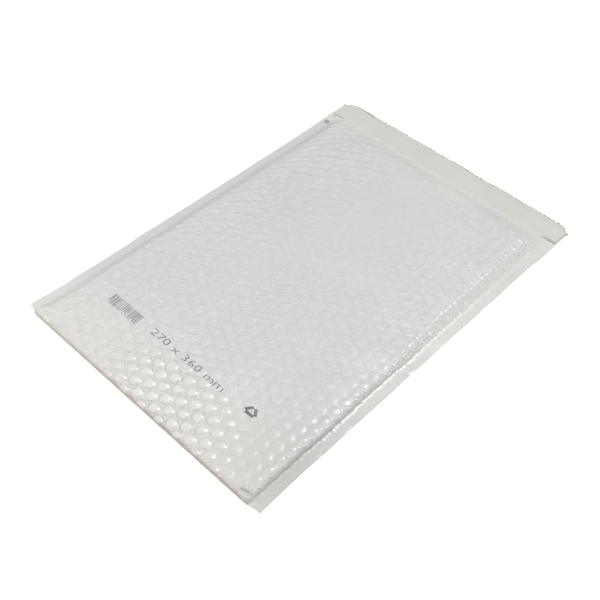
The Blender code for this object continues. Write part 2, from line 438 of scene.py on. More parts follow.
def register(piece, slot, *replaced):
    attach(piece, "root")
    if replaced:
        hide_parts(*replaced)


# Camera, worked out from the four corners of the film in the photograph
camera = {
    "place": (0.37672, -0.42347, 0.59845),
    "view": (-0.44780, 0.48472, -0.75135),
    "roll": math.radians(1.616),
    "lens": 53.44,
    "sensor": 36,
}


def makeCamera():
    data = bpy.data.cameras.new("camera")
    data.lens = camera["lens"]
    data.sensor_width = camera["sensor"]
    data.clip_start = 0.01
    cam = bpy.data.objects.new("camera", data)
    bpy.context.scene.collection.objects.link(cam)
    cam.location = camera["place"]
    look = Vector(camera["view"]).to_track_quat("-Z", "Y")
    cam.rotation_mode = "QUATERNION"
    cam.rotation_quaternion = look @ Quaternion((0, 0, 1), camera["roll"])
    bpy.context.scene.camera = cam


makeCamera()
print("camera placed")


# Node helpers: each takes numbers or sockets and gives back the output socket
def feed(tree, socket, value):
    if hasattr(value, "is_output"):
        tree.links.new(value, socket)
    elif value is not None:
        socket.default_value = (*value, 1) if socket.type == "RGBA" else value


def mathNode(tree, operation, first, second=None, third=None, clamp=False):
    node = tree.nodes.new("ShaderNodeMath")
    node.operation = operation
    node.use_clamp = clamp
    for socket, value in zip(node.inputs, (first, second, third)):
        feed(tree, socket, value)
    return node.outputs["Value"]


def times(tree, first, second):
    return mathNode(tree, "MULTIPLY", first, second)


def vectorNode(tree, operation, first, second=None, third=None):
    node = tree.nodes.new("ShaderNodeVectorMath")
    node.operation = operation
    for socket, value in zip(node.inputs, (first, second, third)):
        feed(tree, socket, value)
    return node.outputs["Value" if operation in ("LENGTH", "DOT_PRODUCT") else "Vector"]


def remap(tree, value, fromLow, fromHigh, toLow, toHigh, smooth=True):
    node = tree.nodes.new("ShaderNodeMapRange")
    node.interpolation_type = "SMOOTHSTEP" if smooth else "LINEAR"
    for name, given in zip(("Value", "From Min", "From Max", "To Min", "To Max"),
                           (value, fromLow, fromHigh, toLow, toHigh)):
        feed(tree, node.inputs[name], given)
    return node.outputs["Result"]


def noise(tree, place, scale, detail=3.0, distortion=0.0):
    node = tree.nodes.new("ShaderNodeTexNoise")
    feed(tree, node.inputs["Vector"], place)
    feed(tree, node.inputs["Scale"], scale)
    node.inputs["Detail"].default_value = detail
    node.inputs["Distortion"].default_value = distortion
    return node.outputs["Fac"]


def blendColor(tree, share, first, second):
    node = tree.nodes.new("ShaderNodeMix")
    node.data_type = "RGBA"
    feed(tree, node.inputs[0], share)
    feed(tree, node.inputs[6], first)
    feed(tree, node.inputs[7], second)
    return node.outputs[2]


def circleMask(tree, distance, radius, width):
    # 1 on a circle of that radius, easing to 0 over the width to both sides of it
    off = mathNode(tree, "ABSOLUTE", mathNode(tree, "SUBTRACT", distance, radius))
    return remap(tree, off, 0, width, 1, 0)


def newGroup(name, inputs, outputs):
    group = bpy.data.node_groups.new(name, "ShaderNodeTree")
    for title, kind in inputs:
        group.interface.new_socket(title, in_out="INPUT", socket_type="NodeSocket" + kind)
    for title, kind in outputs:
        group.interface.new_socket(title, in_out="OUTPUT", socket_type="NodeSocket" + kind)
    given = group.nodes.new("NodeGroupInput").outputs
    return group, given, group.nodes.new("NodeGroupOutput").inputs


def useGroup(tree, group, **values):
    node = tree.nodes.new("ShaderNodeGroup")
    node.node_tree = group
    for title, value in values.items():
        feed(tree, node.inputs[title], value)
    return node.outputs


# Cloudy colour, uneven gloss and fine creases of a thin sheet
def sheetSurfaceGroup():
    group, given, result = newGroup(
        "sheetSurface",
        [("Pale", "Color"), ("Deep", "Color"), ("CloudScale", "Float"), ("GlossLow", "Float"),
         ("GlossHigh", "Float"), ("CreaseScale", "Float"), ("CreaseDepth", "Float")],
        [("Color", "Color"), ("Roughness", "Float"), ("Height", "Float")])
    place = group.nodes.new("ShaderNodeTexCoord").outputs["Object"]
    clouds = remap(group, noise(group, place, given["CloudScale"]), 0.35, 0.65, 0.0, 1.0)
    feed(group, result["Color"], blendColor(group, clouds, given["Pale"], given["Deep"]))
    haze = remap(group, noise(group, place, 70, 4), 0.3, 0.7, given["GlossLow"], given["GlossHigh"])
    feed(group, result["Roughness"], haze)
    crease = noise(group, place, given["CreaseScale"], 5, 0.6)
    feed(group, result["Height"], times(group, crease, given["CreaseDepth"]))
    return group


# The fine marks of each bubble
bubbleLines = {
    "wobble": 1.4 * mm,             # how far its circles waver
    "ring": (5.1 * mm, 5.5 * mm),
    "ringWidth": 0.8 * mm,
    "ringDepth": 0.18 * mm,
    "innerShare": 0.72,             # a fainter ring inside the first
    "innerWidth": 0.5 * mm,
    "arc": 3.1 * mm,                # one curved fold over the bubble
    "arcWidth": 0.8 * mm,
    "arcHeight": 0.16 * mm,
    "arcSlip": 1.7 * mm,            # how far its middle moves at most
    "gather": 2.4 * mm,             # from one close arc to the next
    "gatherHeight": 0.18 * mm,
    # painted shade in the close arcs' troughs and painted highlight on their crests
    "gatherShade": -0.6,
    "gatherHighlight": 2.0,
    "wrinkles": 0.7 * mm,
    "dash": (6.2 * mm, 2.4 * mm),   # length and width of the dashes where the film is slack
    # painted shade in the dark dashes and painted highlight on the pale ones
    "dashShade": 0.42,
    "dashHighlight": 1.1,
    "highlightDisc": (5.0 * mm, 3.6 * mm),   # painted highlight on the top of a firm bubble, fading out between these radii
    "discHighlight": 0.6,
}


def bubbleOffset(group, place):
    # from the nearest bubble's centre to the place, and two random values that are that bubble's:
    # the lattice is two plain grids, one moved on by half a step, and the nearer one counts
    step = (columnStep, rowStep, 1.0)
    back = (-columnStep, -rowStep, -1.0)
    even = vectorNode(group, "WRAP", place, step, back)
    moved = vectorNode(group, "ADD", place, (columnStep, rowStep, 0))
    odd = vectorNode(group, "WRAP", moved, step, back)
    lengths = [vectorNode(group, "LENGTH", offset) for offset in (odd, even)]
    node = group.nodes.new("ShaderNodeMix")
    node.data_type = "VECTOR"
    feed(group, node.inputs[0], mathNode(group, "LESS_THAN", *lengths))
    feed(group, node.inputs[4], even)
    feed(group, node.inputs[5], odd)
    offset = node.outputs[1]
    centre = vectorNode(group, "SUBTRACT", place, offset)
    centre = vectorNode(group, "ADD", centre, (columnStep / 2, rowStep / 2, 0))
    own = group.nodes.new("ShaderNodeTexWhiteNoise")
    feed(group, own.inputs["Vector"], vectorNode(group, "SNAP", centre, (columnStep, rowStep, 1)))
    return offset, own.outputs["Value"], own.outputs["Color"]


def slackDashes(group, place):
    # a noise drawn out along the rows of bubbles
    turned = group.nodes.new("ShaderNodeMapping")
    turned.vector_type = "TEXTURE"
    turned.inputs["Rotation"].default_value = (0, 0, math.radians(30))
    turned.inputs["Scale"].default_value = (*bubbleLines["dash"], 1)
    feed(group, turned.inputs["Vector"], place)
    return noise(group, turned.outputs["Vector"], 1.0, 3, 0.5)


# In film coordinates: a ring round each bubble, small folds like crescents inside it, close arcs
# where the film turns down, wrinkles where it is firm and dashes where it is slack. Besides the
# bumps it gives painted shade in the rings, the arcs' troughs and the dark dashes, and painted
# highlight on the crescents, the arcs' crests, the pale dashes and the tops of firm bubbles
def bubbleMarksGroup():
    lines = bubbleLines
    group, given, result = newGroup(
        "bubbleMarks",
        [("Place", "Vector"), ("Firmness", "Float"), ("Crescents", "Float"), ("Gathers", "Float")],
        [("PaintedShade", "Float"), ("Pale", "Float"), ("Height", "Float")])
    shift = (bubbles["shiftAcross"], bubbles["shiftAlong"], 0)
    place = vectorNode(group, "SUBTRACT", given["Place"], shift)
    offset, ownValue, ownColor = bubbleOffset(group, place)
    wobble = times(group, mathNode(group, "SUBTRACT", noise(group, place, 260, 2), 0.5), lines["wobble"])
    distance = mathNode(group, "ADD", vectorNode(group, "LENGTH", offset), wobble)

    # the ring round each bubble: a groove, with painted shade along it
    radius = remap(group, ownValue, 0, 1, *lines["ring"], False)
    ring = times(group, circleMask(group, distance, radius, lines["ringWidth"]),
                 remap(group, noise(group, place, 110, 2), 0.38, 0.62, 0.35, 1.2))
    innerRadius = times(group, radius, lines["innerShare"])
    inner = times(group, circleMask(group, distance, innerRadius, lines["innerWidth"]),
                  remap(group, noise(group, place, 150, 2), 0.45, 0.62, 0.0, 0.9))
    ring = times(group, mathNode(group, "MAXIMUM", ring, inner), given["Firmness"])

    # a small curved fold in each bubble: a bump, with a painted highlight along it
    most = lines["arcSlip"]
    slip = vectorNode(group, "MULTIPLY_ADD", ownColor, (2 * most, 2 * most, 0), (-most, -most, 0))
    fromArc = vectorNode(group, "SUBTRACT", offset, slip)
    arcDistance = mathNode(group, "ADD", vectorNode(group, "LENGTH", fromArc), wobble)
    lean = vectorNode(group, "MULTIPLY_ADD", ownColor, (2.0, 2.0, 0), (-0.5, -1.5, 0))
    side = remap(group, vectorNode(group, "DOT_PRODUCT", fromArc, lean), -0.2 * mm, 1.8 * mm, 0, 1)
    arc = times(group, circleMask(group, arcDistance, lines["arc"], lines["arcWidth"]), side)
    arc = times(group, arc, remap(group, ownValue, 0.1, 0.9, 0.3, 1.2))
    arc = times(group, arc, given["Crescents"])

    wave = mathNode(group, "SINE", times(group, distance, 2 * math.pi / lines["gather"]))
    gathers = times(group, wave, given["Gathers"])
    wrinkles = times(group, noise(group, place, 330, 3, 0.4), given["Firmness"])
    height = times(group, ring, -lines["ringDepth"])
    for mask, rise in ((arc, "arcHeight"), (gathers, "gatherHeight"), (wrinkles, "wrinkles")):
        height = mathNode(group, "MULTIPLY_ADD", mask, lines[rise], height)
    feed(group, result["Height"], height)

    # where the film is slack: painted shade in the dark dashes and painted highlight on the pale ones
    slack = mathNode(group, "SUBTRACT", 1.0, given["Firmness"])
    grain = slackDashes(group, place)
    dash = times(group, remap(group, grain, 0.46, 0.32, 0, lines["dashShade"]), slack)
    paintedGlint = times(group, remap(group, grain, 0.54, 0.64, 0, lines["dashHighlight"]), slack)
    paintedGlint = times(group, paintedGlint, given["Crescents"])
    # painted shade from the rings and the dark dashes
    ringAndDashShade = mathNode(group, "MAXIMUM", ring, dash)
    # painted shade in the close arcs' troughs
    gathered = times(group, gathers, lines["gatherShade"])
    feed(group, result["PaintedShade"], mathNode(group, "MAXIMUM", ringAndDashShade, gathered, clamp=True))

    # painted highlight over the top of each firm bubble
    highlightDisc = times(group, remap(group, distance, *lines["highlightDisc"], 0, lines["discHighlight"]),
                 remap(group, given["Firmness"], 0.6, 1.0, 0, 1))
    pale = mathNode(group, "MAXIMUM", mathNode(group, "MAXIMUM", arc, highlightDisc), paintedGlint)
    # painted highlight on the close arcs' crests
    gathered = times(group, gathers, lines["gatherHighlight"])
    feed(group, result["Pale"], mathNode(group, "MAXIMUM", pale, gathered, clamp=True))
    return group


sheetSurface = sheetSurfaceGroup()
bubbleMarks = bubbleMarksGroup()


def newMaterial(name, color, roughness, specular=0.5):
    material = bpy.data.materials.new(name)
    material.use_nodes = True
    shader = material.node_tree.nodes["Principled BSDF"]
    shader.inputs["Base Color"].default_value = (*color, 1)
    shader.inputs["Roughness"].default_value = roughness
    shader.inputs["Specular IOR Level"].default_value = specular
    return material, material.node_tree, shader


def dress(tree, shader, color, roughness, height):
    # colour, gloss and bump into the shader
    bump = tree.nodes.new("ShaderNodeBump")
    bump.inputs["Strength"].default_value = 1.0
    bump.inputs["Distance"].default_value = 1.0
    tree.links.new(height, bump.inputs["Height"])
    tree.links.new(color, shader.inputs["Base Color"])
    tree.links.new(roughness, shader.inputs["Roughness"])
    tree.links.new(bump.outputs["Normal"], shader.inputs["Normal"])


def readMark(tree, name):
    # the three values of a mark, or the mark as a vector under the name Vector
    node = tree.nodes.new("ShaderNodeAttribute")
    node.attribute_name = name
    split = tree.nodes.new("ShaderNodeSeparateXYZ")
    tree.links.new(node.outputs["Vector"], split.inputs["Vector"])
    return {"Vector": node.outputs["Vector"], **{axis: split.outputs[axis] for axis in "XYZ"}}


paddedFilm = {
    # painted light: a paler, warmer colour where the light picks out a warm tone
    "warmLight": (0.76, 0.748, 0.72),
    # painted shade, warm and rosy, for the fold's face
    "foldFaceShade": (0.64, 0.545, 0.475),
    # painted highlight colour for the bubble marks
    "paintedGlint": (0.95, 0.95, 0.94),
    "shade": (0.42, 0.41, 0.40),
    "foldShade": 0.48,
    "foldGlint": 0.55,
    "coat": 0.85,
    "coatRoughness": 0.2,
    "surface": {
        "Pale": (0.70, 0.70, 0.712),
        "Deep": (0.68, 0.68, 0.69),
        "CloudScale": 14.0,
        "GlossLow": 0.40,
        "GlossHigh": 0.52,
        "CreaseScale": 420.0,
        "CreaseDepth": 0.1 * mm,
    },
}


def paddedFilmMaterial():
    given = paddedFilm
    material, tree, shader = newMaterial("paddedFilm", given["surface"]["Pale"], given["surface"]["GlossLow"])
    shader.inputs["Coat Weight"].default_value = given["coat"]
    shader.inputs["Coat Roughness"].default_value = given["coatRoughness"]
    surface = useGroup(tree, sheetSurface, **given["surface"])
    form = readMark(tree, "form")
    paintedLight = readMark(tree, "paintedLight")
    lines = useGroup(tree, bubbleMarks, Place=readMark(tree, "filmPlace")["Vector"],
                     Firmness=form["X"], Crescents=form["Y"], Gathers=form["Z"])
    # painted light and shade: a paler warmer colour, painted shade on the fold's face, painted highlights
    # from the bubble marks, and painted shade from the bubble marks, grooves and valleys
    color = blendColor(tree, paintedLight["X"], surface["Color"], given["warmLight"])
    color = blendColor(tree, paintedLight["Y"], color, given["foldFaceShade"])
    color = blendColor(tree, times(tree, lines["Pale"], given["foldGlint"]), color, given["paintedGlint"])
    shade = mathNode(tree, "MAXIMUM", paintedLight["Z"], times(tree, lines["PaintedShade"], given["foldShade"]))
    color = blendColor(tree, shade, color, given["shade"])
    height = mathNode(tree, "ADD", surface["Height"], lines["Height"])
    dress(tree, shader, color, surface["Roughness"], height)
    return material


# Plain sheets: pale and deep colour, lowest and highest roughness, the clouds' and the creases'
# scale, and the creases' depth
sheets = {
    "linerPaper": ((0.70, 0.69, 0.65), (0.68, 0.665, 0.62), 0.42, 0.55, 20, 300, 0.04 * mm),
    "hemPlastic": ((0.56, 0.55, 0.54), (0.20, 0.20, 0.20), 0.18, 0.35, 600, 900, 0.2 * mm),
    "amberTack": ((0.66, 0.55, 0.33), (0.58, 0.46, 0.25), 0.22, 0.35, 60, 500, 0.2 * mm),
    "darkInk": ((0.14, 0.14, 0.145), (0.26, 0.26, 0.265), 0.35, 0.5, 180, 400, 0.03 * mm),
    "greyInk": ((0.34, 0.34, 0.36), (0.40, 0.40, 0.42), 0.35, 0.5, 180, 400, 0.03 * mm),
}


def sheetMaterial(name, shade=None):
    pale, deep, glossLow, glossHigh, cloudScale, creaseScale, creaseDepth = sheets[name]
    material, tree, shader = newMaterial(name, pale, glossLow)
    surface = useGroup(tree, sheetSurface, Pale=pale, Deep=deep, CloudScale=cloudScale,
                       GlossLow=glossLow, GlossHigh=glossHigh, CreaseScale=creaseScale,
                       CreaseDepth=creaseDepth)
    color = surface["Color"]
    # painted shade where the piece's mark asks for it
    if shade:
        color = blendColor(tree, readMark(tree, "paintedLight")["Z"], color, shade)
    dress(tree, shader, color, surface["Roughness"], surface["Height"])
    return material


whiteFilm = paddedFilmMaterial()
linerPaper = sheetMaterial("linerPaper", shade=(0.20, 0.19, 0.18))
hemPlastic, amberTack, darkInk, greyInk = (
    sheetMaterial(name) for name in ("hemPlastic", "amberTack", "darkInk", "greyInk"))
print("materials made")

def warmLightAt(u, s):
    # painted light: a paler, warmer colour low down, along the right seam and on the flap, where the light
    # picks out a warm tone
    lower = fade(s - 0.1 * u, 20, 90)
    flap = ramp(s - mouth + 8 * mm * softWaves(u, 0 * s, 5, 3, 40, 120), -22, 14)
    return np.clip(np.maximum(np.maximum(lower, 0.8 * ramp(u, 105, 30)), flap), 0, 1)


def shadeAt(u, s):
    # painted shade in the grooves beside the padding, a painted shadow under the mouth's right end,
    # painted shade in the crumpled corner, over the lower right and its seam, and in the valleys
    beyond = np.abs(u) - weldAt(u, s)
    right = (0.42 - 0.34 * ramp(s, 150, 120)) * bell(beyond, 0.2, 0.9)
    groove = np.where(u > 0, right, 0.34 * bell(beyond, 0, 1.3))
    corner = 0.8 * bell(s - 0.25 * (u - 130 * mm), 7, 1.5) * bell(u, 127, 7)
    slip = 0.5 * bell(s - mouth, 0, 1.2) * ramp(u, 130, 6)
    # painted shade over the lower right and, past the weld, its seam
    lowerRightShade = 0.30 * bell(u, 132, 50) * bell(s, 55, 62)
    lowerRightShade = lowerRightShade + 0.15 * ramp(u - weld, 1.5, 1.5) * fade(s, 90, 70)
    valleys = 0.60 * np.maximum(-rowRipples(u, s), 0) * slackAt(u, s) * ramp(-beyond, 0, 4)
    streaks = np.maximum(-1.2 * edgeStreaks(u, s), -0.30 * mouthGathers(u, s)) / mm
    lines = np.maximum(groove, streaks) * padding(s)
    return np.clip(np.maximum(lines, np.maximum(corner, slip)) + lowerRightShade + valleys, 0, 1)


# Front wall: the fold's underside, its blunt face, the front up to its lip, then the pocket's
# ceiling back to the fold
frontPiece = {
    "step": 1.22 * mm,
    "fineStep": 0.7 * mm,
    "alongStep": 1.2 * mm,
    "under": 6 * mm,            # how far it runs on below the fold
    "foldTurns": 15,
}
def makeFrontWall():
    u = acrossStations(frontPiece["step"], frontPiece["fineStep"], 5)[:, None]
    middle = film["seamMiddle"]
    rise = shoulderAt(u, 0 * u)
    reach = 0.5 * mm + (fold["reach"] - 0.5 * mm) * rise
    nose = middle + (fold["nose"] - middle) * rise

    # the fold, turned from -90 degrees under it to 90 on the front, with its bubbles pushed out
    turn = np.linspace(-math.pi / 2, math.pi / 2, frontPiece["foldTurns"])[None, :]
    share = turn / (math.pi / 2)
    foldW = fold["reach"] - foldFront * (1 - share.clip(0, 1)) + foldBack * share.clip(-1, 0) + 0 * u
    relief = bubbleRelief(u, foldW, 0.35 + 0.65 * firmnessAt(u, 0 * foldW), bubbles["seed"]) * rise
    topZ = frontSkin(u, reach)
    bottomZ = backSkin(u, foldW[:, :1], reach)
    relief = relief * (0.1 + 0.9 * easeStep(turn / math.radians(70)))
    foldS = reach * (1 - np.cos(turn)) - relief * np.cos(turn)
    foldZ = nose + np.where(turn > 0, topZ - nose, nose - bottomZ) * np.sin(turn)
    foldZ = foldZ + relief * np.sin(turn) * np.cos(turn)
    underRun = np.linspace(frontPiece["under"], 0, 6)[None, :-1]
    underS = reach + underRun
    underW = foldW[:, :1] - underRun
    rows = int(mouth / frontPiece["alongStep"])
    runS = reach + (mouth - 0.4 * mm - reach) * np.linspace(0, 1, rows)[None, 1:]
    runZ = frontSkin(u, runS)
    s = np.concatenate([underS, foldS, runS], axis=1)
    w = np.concatenate([underW, foldW, runS], axis=1)
    z = np.concatenate([backSkin(u, underW, underS), foldZ, runZ], axis=1).clip(0)

    # the pocket's ceiling from the lip back to its blind end, and its floor under the fold
    body = insidePocket(u)
    half = film["thickness"] / 2
    blind = fold["reach"] + 1 * mm
    ceilingS = blind + (mouth - 0.2 * mm - blind) * np.linspace(0, 1, 16)[None, :]
    lipUnder = film["lip"] - film["lipFilm"]
    ceiling = lipUnder + (half + film["pocketGap"] / 2 - lipUnder) * padding(ceilingS)
    ceilingZ = middle + (ceiling - middle) * body
    ceilingZ[:, -1:] = np.minimum(ceilingZ[:, -1:], runZ[:, -1:] - 0.3 * mm)
    floorS = np.linspace(fold["reach"] + frontPiece["under"], blind, 4)[None, :]
    floorZ = middle - film["seamGap"] + (half - film["pocketGap"] / 2 - middle) * body + 0 * floorS
    innerS = np.concatenate([floorS + 0 * u, fold["reach"] - 0.2 * mm + 0 * u, ceilingS + 0 * u], axis=1)
    innerZ = np.concatenate([floorZ, middle + (half - middle) * body, ceilingZ], axis=1)

    # painted shade, warm and rosy, on the fold's face, most to the right of the middle
    facing = easeStep(1.3 - turn / math.radians(80)) + 0 * u
    facing = np.concatenate([1 + 0 * underS, facing, 0 * runS], axis=1)
    foldFaceShade = facing * ramp(weld - np.abs(u), -2, 14) * (0.65 + 0.35 * ramp(u, -60, 90))
    inPad = padding(s) * ramp(weldAt(u, s) - np.abs(u), 0, 1.5)
    form = triple(ringsAt(u, s) * inPad, crescentsAt(u, s) * inPad, gathersAt(u, s) * padding(s))
    inside = triple(0 * u, 0 * innerS, 0)
    # the last mark is painted light and shade: a paler warmer colour, shade on the fold's face, and shade
    marks = {
        "filmPlace": (triple(u, w, 0), triple(u, 1 + 0 * innerS, 0)),
        "form": (form, inside),
        "paintedLight": (triple(warmLightAt(u, s), foldFaceShade, shadeAt(u, s)), inside),
    }
    innerWay = np.concatenate([-floorS[0], [0], ceilingS[0]])
    outer = placed(u, s, z)
    return shellMesh("frontWall", outer, placed(u, innerS, innerZ), w[0], innerWay, whiteFilm, marks)


front = makeFrontWall()
register(front, "white_film", "bubble_pouch")
print("front wall:", len(front.data.polygons), "faces")

# Back wall and flap: the underside from the fold to the outer edge, the flap's top and the
# pocket's floor
backPiece = {
    "step": 1.45 * mm,
    "fineStep": 0.9 * mm,
    "alongStep": 1.45 * mm,
    "lap": 1.0 * mm,            # over the end of the front wall
    "trim": 1.1 * mm,
}


def flapTop(u, s):
    # the flap's upper side: level film with slow waves
    return film["flap"] + 0.08 * mm * softWaves(u, s, 53, 5, 35, 110)


def makeBackWall():
    u = acrossStations(backPiece["step"], backPiece["fineStep"], 6)[:, None]
    start = fold["reach"] + frontPiece["under"] - backPiece["lap"]
    end = wholeLength - backPiece["trim"]
    rows = int((mouth - start) / backPiece["alongStep"])
    flapRows = np.linspace(mouth, end, 11)[1:]
    underS = np.concatenate([np.linspace(start, mouth, rows), flapRows])[None, :]
    underW = fold["reach"] - foldFront - foldBack - (underS - fold["reach"])
    underZ = backSkin(u, underW + 0 * u, underS) + 0.03 * mm * fade(underS - start, 0, 2)
    body = insidePocket(u)
    floorS = np.linspace(start, mouth - 7 * mm, 12)[None, :]
    half = film["thickness"] / 2
    inner = film["flap"] + (half - film["pocketGap"] / 2 - film["flap"]) * padding(floorS)
    seamFloor = film["seamMiddle"] - film["seamGap"]
    floorZ = seamFloor + (inner - seamFloor) * body
    topS = np.linspace(mouth - 6 * mm, end, 14)[None, :]
    flat = flapTop(u, topS)
    join = ramp(topS - mouth, 0, 3)
    topZ = flat * join + (1 - join) * np.minimum(flat, seamFloor + (flat - seamFloor) * body)
    innerS = np.concatenate([floorS, topS], axis=1)
    innerZ = np.concatenate([floorZ, topZ], axis=1)
    firmness = 0.8 * padding(underS) * ramp(weld - np.abs(u), 0, 1.5)
    marks = {
        "filmPlace": (triple(u, underW, 0), triple(u, 1 + 0 * innerS, 0)),
        "form": (triple(firmness, 0.6 * firmness, 0), triple(0 * u, 0 * innerS, 0)),
        "paintedLight": (triple(0 * u, 0 * underS, 0), triple(warmLightAt(u, innerS), 0, 0)),
    }
    outer = placed(u, underS, underZ.clip(0))
    return shellMesh("backWall", outer, placed(u, innerS, innerZ), underS[0], innerS[0], whiteFilm, marks)


back = makeBackWall()
register(back, "white_film", "bubble_pouch")
print("back wall and flap:", len(back.data.polygons), "faces")

# The flap's outer edge is cut with heat, which leaves a thin ragged bead of melted film
hem = {"inset": 1.0 * mm, "half": 1.0 * mm, "height": 0.28 * mm, "step": 0.45 * mm, "around": 8}


def hemCentre(t):
    # film coordinates of the bead's middle: t runs from the left seam round both cut corners
    outer = wholeLength - hem["inset"]
    side = outer - film["cornerAlong"] - 1 * mm
    slope = outer - side
    s = np.interp(t, [0, slope, slope + 2 * halfWidth, 2 * slope + 2 * halfWidth], [side, outer, outer, side])
    u = np.clip(t - slope - halfWidth, -halfWidth, halfWidth)
    return u * (1 - 0.5 * mm / halfWidth), s


def makeHem():
    length = 2 * halfWidth + 2 * (film["cornerAlong"] + 1 * mm)
    t = np.linspace(0, length, int(length / hem["step"]))
    u, s = hemCentre(t)
    centre = placed(u, s, 0 * u + film["flap"] * 0.55)
    way = np.gradient(centre[:, :2], axis=0)
    way = way / np.linalg.norm(way, axis=1, keepdims=True)
    outward = np.stack([-way[:, 1], way[:, 0]], axis=-1)
    coarse = softWaves(t, 0 * t, 43, 8, 2.5, 9)
    fine = softWaves(t, 0 * t, 44, 8, 1.1, 3)
    turn = np.linspace(0, 2 * math.pi, hem["around"], endpoint=False)[None, :]
    wide = hem["half"] * (1 + 0.25 * coarse[:, None] + 0.30 * fine[:, None] * np.cos(turn))
    tall = hem["height"] * (1 + 0.5 * fine[:, None])
    slip = 0.28 * mm * coarse[:, None] + wide * np.cos(turn)
    points = np.stack([centre[:, None, 0] + outward[:, None, 0] * slip,
                       centre[:, None, 1] + outward[:, None, 1] * slip,
                       (centre[:, None, 2] + tall * np.sin(turn)).clip(0)], axis=-1)
    return tubeMesh("cutHem", points, hemPlastic)


def tubeMesh(name, points, material):
    # a closed tube through rings of points of shape (rings, around, 3)
    index, quads = ringQuads(*points.shape[:2])
    faces = quads.tolist() + [index[0].tolist(), index[-1][::-1].tolist()]
    return newPiece(name, points.reshape(-1, 3), faces, material)


hemPiece = makeHem()
register(hemPiece, "white_film", "bubble_pouch")
print("hem made")

# Release liner and adhesive band on the flap, placed from the mouth
liner = {"from": -0.35 * mm, "to": 25.2 * mm, "ends": 1.6 * mm, "step": 1.5 * mm, "thick": 0.2 * mm}
adhesive = {"from": 5.5 * mm, "to": 22.5 * mm, "ends": 2.0 * mm, "step": 1.5 * mm, "waver": 0.5 * mm}


def acrossBand(band):
    # places across the film from one end of a band to the other
    span = halfWidth - band["ends"]
    return np.linspace(-span, span, int(2 * span / band["step"]))[:, None]


def bandMesh(name, u, sLow, sHigh, bottom, top, rows, material, paintedLight=None):
    # a thin sheet over the flap, from one line along it to another
    way = np.linspace(0, 1, rows)
    s = sLow + (sHigh - sLow) * way[None, :]
    marks = None if paintedLight is None else {"paintedLight": (paintedLight(u, s), paintedLight(u, s))}
    return shellMesh(name, placed(u, s, top(u, s)), placed(u, s, bottom(u, s)), way, way, material, marks)


def linerTop(u, s):
    # level with the front wall's lip where it starts, lower over the adhesive, down to the film
    # at its outer edge, with a few slow waves
    t = (s - mouth - liner["from"]) / (liner["to"] - liner["from"])
    waves = softWaves(u, s, 73, 6, 30, 120)
    level = 1.42 * mm - 0.12 * mm * easeStep(t / 0.3) - 0.35 * mm * easeStep((t - 0.75) / 0.25)
    return level + 0.10 * mm * waves * easeStep(t / 0.2)


def linerUnder(u, s):
    return linerTop(u, s) - liner["thick"]


def linerPaintedShade(u, s):
    # a painted shadow under the mouth's right end, which stands open a little, and painted shade along
    # the adhesive's outer edge, which shows through the paper
    gap = bell(s - mouth, 0.8, 0.9) * ramp(u, 126, 8)
    waves = softWaves(u, 0 * s, 107, 5, 6, 40)
    edge = bell(s - mouth - adhesive["to"] - adhesive["waver"] * waves, -1.4, 0.7)
    return triple(0 * u, 0 * s, np.maximum(0.45 * gap, 0.09 * edge * (1 + 0.6 * waves)))


def makeLiner():
    u = acrossBand(liner)
    trim = 0.15 * mm * softWaves(u, 0 * u, 79, 4, 20, 60)
    sLow = mouth + liner["from"] + 0 * u
    sHigh = mouth + liner["to"] + trim
    return bandMesh("releaseLiner", u, sLow, sHigh, linerUnder, linerTop, 20, linerPaper, linerPaintedShade)


def adhesiveTop(u, s):
    # a hot-melt band with a lumpy top
    return film["flap"] + 0.42 * mm + 0.05 * mm * softWaves(u, s, 89, 8, 3, 12)


def adhesiveUnder(u, s):
    return film["flap"] + 0.12 * mm + 0 * u * s


def makeAdhesive():
    u = acrossBand(adhesive)
    sLow = mouth + adhesive["from"] + adhesive["waver"] * softWaves(u, 0 * u, 101, 5, 6, 30)
    sHigh = mouth + adhesive["to"] + adhesive["waver"] * softWaves(u, 0 * u, 103, 5, 6, 30)
    return bandMesh("adhesiveBand", u, sLow, sHigh, adhesiveUnder, adhesiveTop, 10, amberTack)


linerPiece = makeLiner()
register(linerPiece, "cream_liner", "release_liner")
adhesivePiece = makeAdhesive()
register(adhesivePiece, "amber_adhesive", "adhesive_strip")
print("liner and adhesive made")

# Printed marks: thin patches that follow the front skin, placed in mm from the film's left
# edge and from the fold
printed = {
    "lift": 0.14 * mm,
    "bars": {
        "left": 48.1, "right": 88.3, "bottom": 50.1, "top": 61.3,
        "widths": [0.45, 0.6, 0.9], "feet": [0.0, 0.0, 1.8], "gaps": [1.0, 1.3, 1.8], "seed": 17,
    },
    "sign": {
        "middle": (224.6, 58.05), "size": 8.05, "wide": 1.35,
        "from": 0.25, "to": 0.73, "thick": 2.7,
    },
    "size": {
        "words": "270 x 360 mm", "left": 103.6, "right": 193.0, "bottom": 53.5, "top": 60.2,
        "thinned": 0.014,
    },
    "spots": [(6.84, 380.6, 3.5, 2.9), (6.84, 393.0, 1.5, 0.5)],
}


def onFront(x, y):
    # points given in mm from the film's left edge and fold, laid just over the front skin
    u = x * mm - halfWidth
    s = y * mm
    return placed(u, s, frontSkin(u, s) + printed["lift"])


